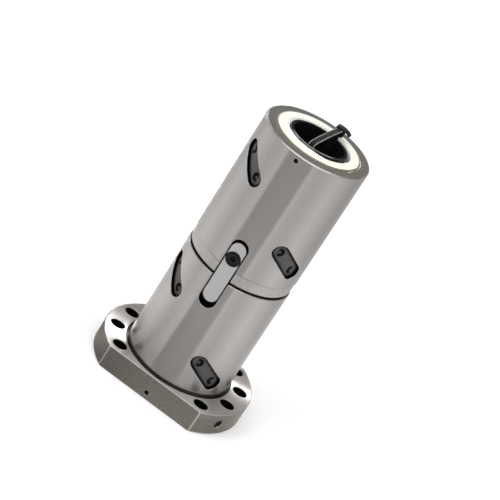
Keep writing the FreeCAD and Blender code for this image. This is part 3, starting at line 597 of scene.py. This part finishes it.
# The tent is brighter low down, and darker high up behind the nut, but for one bright panel
FALL_HEIGHTS = (-0.46, -0.18)
FALL_LEVELS = (1.36, 0.78)
DARK_ANGLES = (110, 140)
DARK_HEIGHTS = (0.46, 0.56)
DARK_LEVEL = (0.31, 0.30, 0.285, 1)
PANEL_ANGLES = (-165, -146)
PANEL_HEIGHTS = (0.53, 0.64)
PANEL_SOFT_ANGLE = 3
PANEL_SOFT_HEIGHT = 0.02
PANEL_LEVEL = 36.0

CEILING_STRENGTH = 2.0
PAPER = (0.97, 0.97, 0.97, 1)
FLOOR_RADIUS = 6.0
TABLE_TINT = (1.0, 0.95, 0.88, 1)
TABLE_RADIUS = 75 * MM
TABLE_DROP = 1 * MM
LIGHT_AIM = Vector((0, 0, 0.09))
LIGHT_SIZE = 0.8


def make_tent():
    """A round wall whose brightness by direction makes the soft bands along the nuts."""
    mesh = bpy.data.meshes.new("light_tent")
    build = bmesh.new()
    rings = []
    for height in (TENT_LOW, TENT_HIGH):
        ring = [
            build.verts.new((TENT_RADIUS * math.sin(turn), -TENT_RADIUS * math.cos(turn), height))
            for turn in (2 * math.pi * side / TENT_SIDES for side in range(TENT_SIDES))
        ]
        rings.append(ring)
    for side in range(TENT_SIDES):
        after = (side + 1) % TENT_SIDES
        build.faces.new((rings[0][side], rings[0][after], rings[1][after], rings[1][side]))
    build.to_mesh(mesh)
    build.free()

    material, tree, emission = glow("tent_glow")
    height, degrees = bearing(tree)
    level = grey_by_angle(tree, degrees, TENT_BANDS)
    level = tree.shaded(level, tree.spread(height, *FALL_HEIGHTS, *FALL_LEVELS))
    behind = tree.spread(tree.math("ABSOLUTE", degrees), *DARK_ANGLES)
    dark = tree.times(behind, tree.spread(height, *DARK_HEIGHTS))
    level = tree.mix(dark, level, DARK_LEVEL)
    panel = tree.times(
        tree.band(degrees, *PANEL_ANGLES, PANEL_SOFT_ANGLE),
        tree.band(height, *PANEL_HEIGHTS, PANEL_SOFT_HEIGHT),
    )
    level = tree.mix(panel, level, (PANEL_LEVEL, PANEL_LEVEL, PANEL_LEVEL, 1))
    tree.feed(emission.inputs["Color"], level)
    staged("light_tent", mesh, material)


def make_disc(name, radius, height, material, only_reflections=True):
    mesh = bpy.data.meshes.new(name)
    build = bmesh.new()
    bmesh.ops.create_circle(build, cap_ends=True, segments=64, radius=radius)
    bmesh.ops.translate(build, verts=build.verts, vec=(0, 0, height))
    build.to_mesh(mesh)
    build.free()
    return staged(name, mesh, material, only_reflections)


def area_light(name, place, power):
    """A square light that shines on the nut and that nothing reflects."""
    data = bpy.data.lights.new(name, "AREA")
    data.size = LIGHT_SIZE
    data.energy = power
    light = bpy.data.objects.new(name, data)
    light.location = place
    light.rotation_euler = (LIGHT_AIM - Vector(place)).to_track_quat("-Z", "Y").to_euler()
    light.visible_glossy = False
    collection.objects.link(light)


def make_studio():
    world = bpy.data.worlds.new("studio")
    world.use_nodes = True
    bpy.context.scene.view_settings.view_transform = "Standard"
    background = world.node_tree.nodes["Background"]
    background.inputs["Color"].default_value = (1, 1, 1, 1)
    background.inputs["Strength"].default_value = 1.0
    bpy.context.scene.world = world

    paper, _, shader = new_material("white_paper")
    shader.inputs["Base Color"].default_value = PAPER
    shader.inputs["Roughness"].default_value = 0.95
    shader.inputs["Specular IOR Level"].default_value = 0.0
    floor = make_disc("floor", FLOOR_RADIUS, 0.0, paper, only_reflections=False)
    floor.visible_glossy = False
    make_tent()

    shade, tree, emission = glow("table_shade")
    table = grey_by_angle(tree, bearing(tree)[1], TABLE_BANDS)
    tree.feed(emission.inputs["Color"], tree.mix(1.0, table, TABLE_TINT, "MULTIPLY"))
    make_disc("table_shade", TABLE_RADIUS, -TABLE_DROP, shade)
    ceiling = glow("ceiling_panel", CEILING_STRENGTH)[0]
    make_disc("ceiling_panel", TENT_RADIUS, TENT_HIGH + 0.01, ceiling)
    area_light("key_light", (-0.9, -0.8, 1.0), 9)
    area_light("fill_light", (0.9, -0.9, 0.7), 5)


# CAD nodes keep their shape and take these finishes

def dress(names, material):
    for name in names:
        for slot in nodes[name].material_slots:
            slot.material = material


def numbered(kind):
    return [f"{nut}_{kind}_{number}" for nut in ("lower", "upper") for number in range(1, 5)]


# Pieces that stand for plainer solids

def finished(name, build, material, body):
    """Makes a bmesh a named piece that rides a body, its faces pointing outwards."""
    bmesh.ops.recalc_face_normals(build, faces=build.faces)
    mesh = bpy.data.meshes.new(name)
    build.to_mesh(mesh)
    build.free()
    return placed(name, mesh, material, body)


def placed(name, mesh, material, body, sharp=30):
    """Makes a mesh a named piece that rides a body, sharp where faces meet at more degrees than given."""
    mesh.shade_smooth()
    mesh.set_sharp_from_angle(angle=math.radians(sharp))
    mesh.materials.clear()
    mesh.materials.append(material)
    piece = bpy.data.objects.new(name, mesh)
    collection.objects.link(piece)
    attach(piece, body)
    return piece


def skin(build, rings, rims=None):
    """Joins rings of points, each a closed outline, into a tube; its rims may be marked."""
    made = [[build.verts.new(point) for point in ring] for ring in rings]
    if rims:
        rim = build.verts.layers.float["rim"]
        for ring in made:
            for vert, share in zip(ring, rims):
                vert[rim] = share
    for ring, after in zip(made, made[1:]):
        for side in range(len(ring)):
            following = (side + 1) % len(ring)
            build.faces.new((ring[side], ring[following], after[following], after[side]))
    build.faces.new(reversed(made[0]))
    build.faces.new(made[-1])


def strip(build, line, outline, turn=0.0, rims=None):
    """A strap whose outer face follows a line of points; its width lies level, turned about Z."""
    across = Vector((math.cos(turn), -math.sin(turn), 0))
    rings = []
    for index, point in enumerate(line):
        before = Vector(line[max(index - 1, 0)])
        after = Vector(line[min(index + 1, len(line) - 1)])
        outwards = across.cross((after - before).normalized())
        rings.append([Vector(point) + across * side + outwards * out for side, out in outline])
    skin(build, rings, rims)


def rounded_block(build, low, high, radius):
    """A block from corner to corner with rounded edges."""
    made = bmesh.ops.create_cube(build, size=1.0)["verts"]
    for vert in made:
        vert.co = Vector(tuple(low[i] if vert.co[i] < 0 else high[i] for i in range(3)))
    edges = [edge for edge in build.edges if all(vert in made for vert in edge.verts)]
    bmesh.ops.bevel(build, geom=edges, offset=radius, segments=3, profile=0.5, affect="EDGES")


# The tie: its strap, the strands along the tube's wall, the bend, the slots, the head and the tail
TIE_WIDTH = 3.6 * MM
TIE_THICKNESS = 1.2 * MM
TIE_FLOOR = NUT_TOP - 24 * MM
TIE_FRONT_TOP = NUT_TOP + 3.6 * MM
TIE_BACK_TOP = tie_high.z - TIE_THICKNESS
TIE_WALL = 14.6 * MM
TIE_BEND = 3.2 * MM
TIE_BEND_DEGREES = 83
TIE_CROWN = 0.5 * MM
TIE_BEND_STEPS = 9
TIE_TOP_STEPS = 14
TIE_FRONT_SLOT = -1.9 * MM
TIE_REAR_SLOT = 2.9 * MM
TIE_FRONT = -0.2 * MM
TIE_HEAD = Vector((5.8, 5.0, 5.1)) * MM
TIE_HEAD_MIDDLE = 4.4 * MM
TIE_HEAD_FRONT = TIE_WALL + 0.4 * MM
TIE_HEAD_ROUND = 0.7 * MM
TIE_HEAD_FRAME = 0.3 * MM
TIE_HEAD_LOW = tie_high.z - TIE_HEAD_FRAME - TIE_HEAD.z
TIE_FRAME_INSET = Vector((0.9, 0.9, 0)) * MM
TIE_FRAME_ROUND = 0.2 * MM
TIE_TAIL = 3.1 * MM
TIE_TAIL_STEPS = 4

# The strap's outline, across and outwards, as shares of its width and thickness
STRAP = [
    (-0.5, -1), (-0.5, -0.08), (-0.47, 0), (-0.38, 0), (-0.35, -0.25),
    (0.35, -0.25), (0.38, 0), (0.47, 0), (0.5, -0.08), (0.5, -1),
]
RIMS = (0, 1, 1, 1, 0, 0, 1, 1, 1, 0)


def tie_top():
    """Points round the bend at the near side and along to the head, with a slight crown."""
    turn = math.atan2(TIE_HEAD_MIDDLE - TIE_FRONT, 2 * TIE_WALL)
    over = []
    for step in range(TIE_BEND_STEPS + 1):
        angle = math.radians(180 - TIE_BEND_DEGREES * step / TIE_BEND_STEPS)
        along = TIE_BEND * (1 + math.cos(angle))
        x = TIE_FRONT + along * math.tan(turn)
        over.append((x, along - TIE_WALL, TIE_FRONT_TOP - TIE_BEND * (1 - math.sin(angle))))
    start = Vector(over[-1])
    end = Vector((TIE_HEAD_MIDDLE, TIE_HEAD_FRONT + 1.5 * MM, TIE_BACK_TOP))
    top = []
    for step in range(1, TIE_TOP_STEPS + 1):
        share = step / TIE_TOP_STEPS
        top.append(start.lerp(end, share) + Vector((0, 0, TIE_CROWN * math.sin(math.pi * share))))
    return turn, over, top


def make_tie(material):
    """The cable tie: a strap with raised rims and a toothed middle, its head and its cut tail."""
    outline = [(side * TIE_WIDTH, out * TIE_THICKNESS) for side, out in STRAP]
    turn, over, top = tie_top()
    build = bmesh.new()
    build.verts.layers.float.new("rim")

    # Up the near side, over the mouth, down the far side, and across from slot to slot
    near = [(TIE_FRONT_SLOT, -TIE_WALL, TIE_FLOOR), (TIE_FRONT, -TIE_WALL, TIE_FRONT_TOP - 2.5 * TIE_BEND)]
    strip(build, near + over + top, outline, turn, RIMS)
    under_head = (TIE_HEAD_MIDDLE, TIE_WALL, TIE_HEAD_LOW + 0.5 * MM)
    strip(build, [under_head, (TIE_REAR_SLOT, TIE_WALL, TIE_FLOOR)], outline)
    reach = ARBOR_RADIUS - 1.2 * MM
    floor_top = TIE_FLOOR + TIE_THICKNESS
    strip(build, [(TIE_FRONT_SLOT, -reach, floor_top), (TIE_REAR_SLOT, reach, floor_top)], outline)

    # The head, with a raised frame on top
    low = Vector((TIE_HEAD_MIDDLE - TIE_HEAD.x / 2, TIE_HEAD_FRONT, TIE_HEAD_LOW))
    high = low + TIE_HEAD
    rounded_block(build, low, high, TIE_HEAD_ROUND)
    frame_low = Vector((low.x, low.y, high.z - 0.5 * MM)) + TIE_FRAME_INSET
    frame_high = Vector((high.x, high.y, tie_high.z)) - TIE_FRAME_INSET
    rounded_block(build, frame_low, frame_high, TIE_FRAME_ROUND)

    # The cut tail, standing out to the right of the head and drooping
    tail = []
    for step in range(TIE_TAIL_STEPS + 1):
        share = step / TIE_TAIL_STEPS
        droop = (0.3 + 1.4 * share * share) * MM
        x = high.x - 0.5 * MM + TIE_TAIL * share
        tail.append((x, TIE_HEAD_FRONT + TIE_HEAD.y / 2, TIE_BACK_TOP - droop))
    strip(build, tail, [(side * 0.85, out) for side, out in outline], -math.pi / 2)
    strap = finished("cable_tie_strap", build, material, "arbor")
    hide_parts("cable_tie")
    placed("cable_tie_teeth", tooth_row(top, material), material, "arbor")


def new_geometry(name, inputs):
    """An empty Geometry Nodes tree with named inputs, a material and a mesh for its output."""
    inputs = {"Geometry": GEOMETRY, **inputs, "Material": MATERIAL}
    return new_group("GeometryNodeTree", name, inputs, {"Geometry": GEOMETRY})


def give_out(tree, given, result, geometry):
    """Makes the instances real, gives them the material and hands them to the tree's output."""
    real = tree.node("GeometryNodeRealizeInstances", Geometry=geometry)
    coloured = tree.node("GeometryNodeSetMaterial", Geometry=real.outputs[0], Material=given["Material"])
    tree.feed(result["Geometry"], coloured.outputs[0])


def run_geometry(tree, mesh, material):
    """The plain mesh that a Geometry Nodes tree makes of a mesh."""
    carrier = bpy.data.objects.new("carrier", mesh)
    collection.objects.link(carrier)
    modifier = carrier.modifiers.new("nodes", "NODES")
    modifier.node_group = tree.tree
    modifier[tree.tree.interface.items_tree["Material"].identifier] = material
    bpy.context.view_layer.update()
    graph = bpy.context.evaluated_depsgraph_get()
    result = bpy.data.meshes.new_from_object(carrier.evaluated_get(graph))
    carrier.modifiers.remove(modifier)
    bpy.data.objects.remove(carrier)
    return result


# The strap's teeth: bars that stand a little below its rims
TOOTH_SPACING = 1.0 * MM
TOOTH_SIZE = {"Bar width": 2.3 * MM, "Bar length": 0.45 * MM, "Bar height": 0.3 * MM}
TOOTH_DROP = 0.36 * MM


def tooth_row(line, material):
    """Low bars across the strap's middle, repeated along its top strand."""
    tree, given, result = new_geometry("strap_teeth", {"Spacing": TOOTH_SPACING, **TOOTH_SIZE})
    curve = tree.node("GeometryNodeMeshToCurve", Mesh=given["Geometry"])
    points = tree.node("GeometryNodeCurveToPoints", {"mode": "LENGTH"}, Curve=curve.outputs[0])
    tree.feed(points.inputs["Length"], given["Spacing"])
    size = tree.node("ShaderNodeCombineXYZ")
    for axis, label in zip("XYZ", TOOTH_SIZE):
        tree.feed(size.inputs[axis], given[label])
    bar = tree.node("GeometryNodeMeshCube", Size=size.outputs[0])
    turned = tree.node("FunctionNodeAlignRotationToVector", {"axis": "Y"}, Vector=points.outputs["Tangent"])
    bars = tree.node("GeometryNodeInstanceOnPoints", Points=points.outputs["Points"])
    tree.feed(bars.inputs["Instance"], bar.outputs["Mesh"])
    tree.feed(bars.inputs["Rotation"], turned.outputs[0])
    give_out(tree, given, result, bars.outputs[0])

    guide = bpy.data.meshes.new("strap_line")
    places = [point - Vector((0, 0, TOOTH_DROP)) for point in line]
    guide.from_pydata(places, [(spot, spot + 1) for spot in range(len(places) - 1)], [])
    return run_geometry(tree, guide, material)


HEXAGON = 1.5
SCREW_SIDES = 96

# The key screw's outline in millimetres, as radius and depth below its face: shank, head, socket
SCREW_OUTLINE = [
    (2.5, (screw_high.y - screw_low.y) / MM), (2.5, 3.4), (4.1, 3.4), (4.25, 3.25), (4.25, 0.35),
    (3.95, 0.03), (3.5, 0.03), (3.4, 0.7), (2.9, 0.7), (2.75, 0.05), (2.1, 0.05), (1.9, 0.15),
    (HEXAGON, 0.35), (HEXAGON, 2.2), (0.5 * HEXAGON, 2.7),
]


def make_key_screw(material):
    """The key's screw: a head with a chamfer, a turned ring and a hexagon socket, and its shank."""
    middle_z = (screw_low.z + screw_high.z) / 2
    rings = []
    for radius, depth in SCREW_OUTLINE:
        ring = []
        for side in range(SCREW_SIDES):
            turn = 2 * math.pi * side / SCREW_SIDES
            reach = radius * MM
            if radius == HEXAGON:
                reach /= math.cos((turn + math.pi / 6) % (math.pi / 3) - math.pi / 6)
            x, z = reach * math.sin(turn), reach * math.cos(turn)
            ring.append(Vector((x, screw_low.y + depth * MM, middle_z + z)))
        rings.append(ring)
    build = bmesh.new()
    skin(build, rings)
    piece = finished("key_screw_head", build, material, "nut")
    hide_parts("key_screw")


# The grease port's place round the flange, and the foot and sizes of its thread
GREASE_TURN = math.radians(62)
GREASE_HEIGHT = 7.2 * MM
GREASE_DEPTH = 8.6 * MM
GREASE_SHARP = 40
GREASE_THREAD = {"Radius": 2.47 * MM, "Pitch": 0.9 * MM, "Turns": 8.0, "Ridge": 0.3 * MM}


def make_grease_thread(material):
    """The thread inside the grease port, wound by Geometry Nodes from its radius, pitch and turns."""
    tree, given, result = new_geometry("port_thread", GREASE_THREAD)
    spiral = tree.node("GeometryNodeCurveSpiral", Resolution=36, Rotations=given["Turns"])
    tree.feed(spiral.inputs["Start Radius"], given["Radius"])
    tree.feed(spiral.inputs["End Radius"], given["Radius"])
    tree.feed(spiral.inputs["Height"], tree.math("MULTIPLY", given["Pitch"], given["Turns"]))
    ridge = tree.node("GeometryNodeCurvePrimitiveCircle", Resolution=6, Radius=given["Ridge"])
    wound = tree.node("GeometryNodeCurveToMesh", Curve=spiral.outputs[0], Profile_Curve=ridge.outputs[0])
    wound.inputs["Fill Caps"].default_value = True
    give_out(tree, given, result, wound.outputs[0])
    mesh = run_geometry(tree, bpy.data.meshes.new("port"), material)
    outwards = Vector((math.sin(GREASE_TURN), -math.cos(GREASE_TURN), 0))
    foot = outwards * (FLANGE_RADIUS - GREASE_DEPTH) + Vector((0, 0, GREASE_HEIGHT))
    mesh.transform(Matrix.Translation(foot) @ outwards.to_track_quat("Z", "Y").to_matrix().to_4x4())
    placed("grease_port_thread", mesh, material, "nut", GREASE_SHARP)


make_camera()
make_studio()

oxide = steel("black_oxide", OXIDE, OXIDE_EDGE_HIGHLIGHT, 0.36, 0.3 * MM)
dress(numbered("balls"), steel("ball_steel", BALL, BALL, 0.1, 2 * MM, film_share=0.02))
dress(["flanged_nut", "plain_nut"], ground_steel())
dress(["spacer_ring"], steel("spacer_steel", SPACER, SPACER_EDGE, 0.55, 1.3 * MM, 0.2, 0.72))
dress(["key"], steel("key_steel", KEY, KEY_SHADOW_LINE, 0.5, 0.35 * MM, outline=key_outline))
dress(["end_wiper_screw", "flange_wiper_screw"], oxide)
dress(numbered("deflector"), insert_plastic())
dress(["end_wiper", "flange_wiper"], wiper_plastic())
dress(["arbor_tube"], arbor_plastic())
make_tie(tie_nylon())
make_key_screw(oxide)
make_grease_thread(steel("thread_steel", THREAD, THREAD_EDGE_HIGHLIGHT, 0.35, 0.3 * MM))
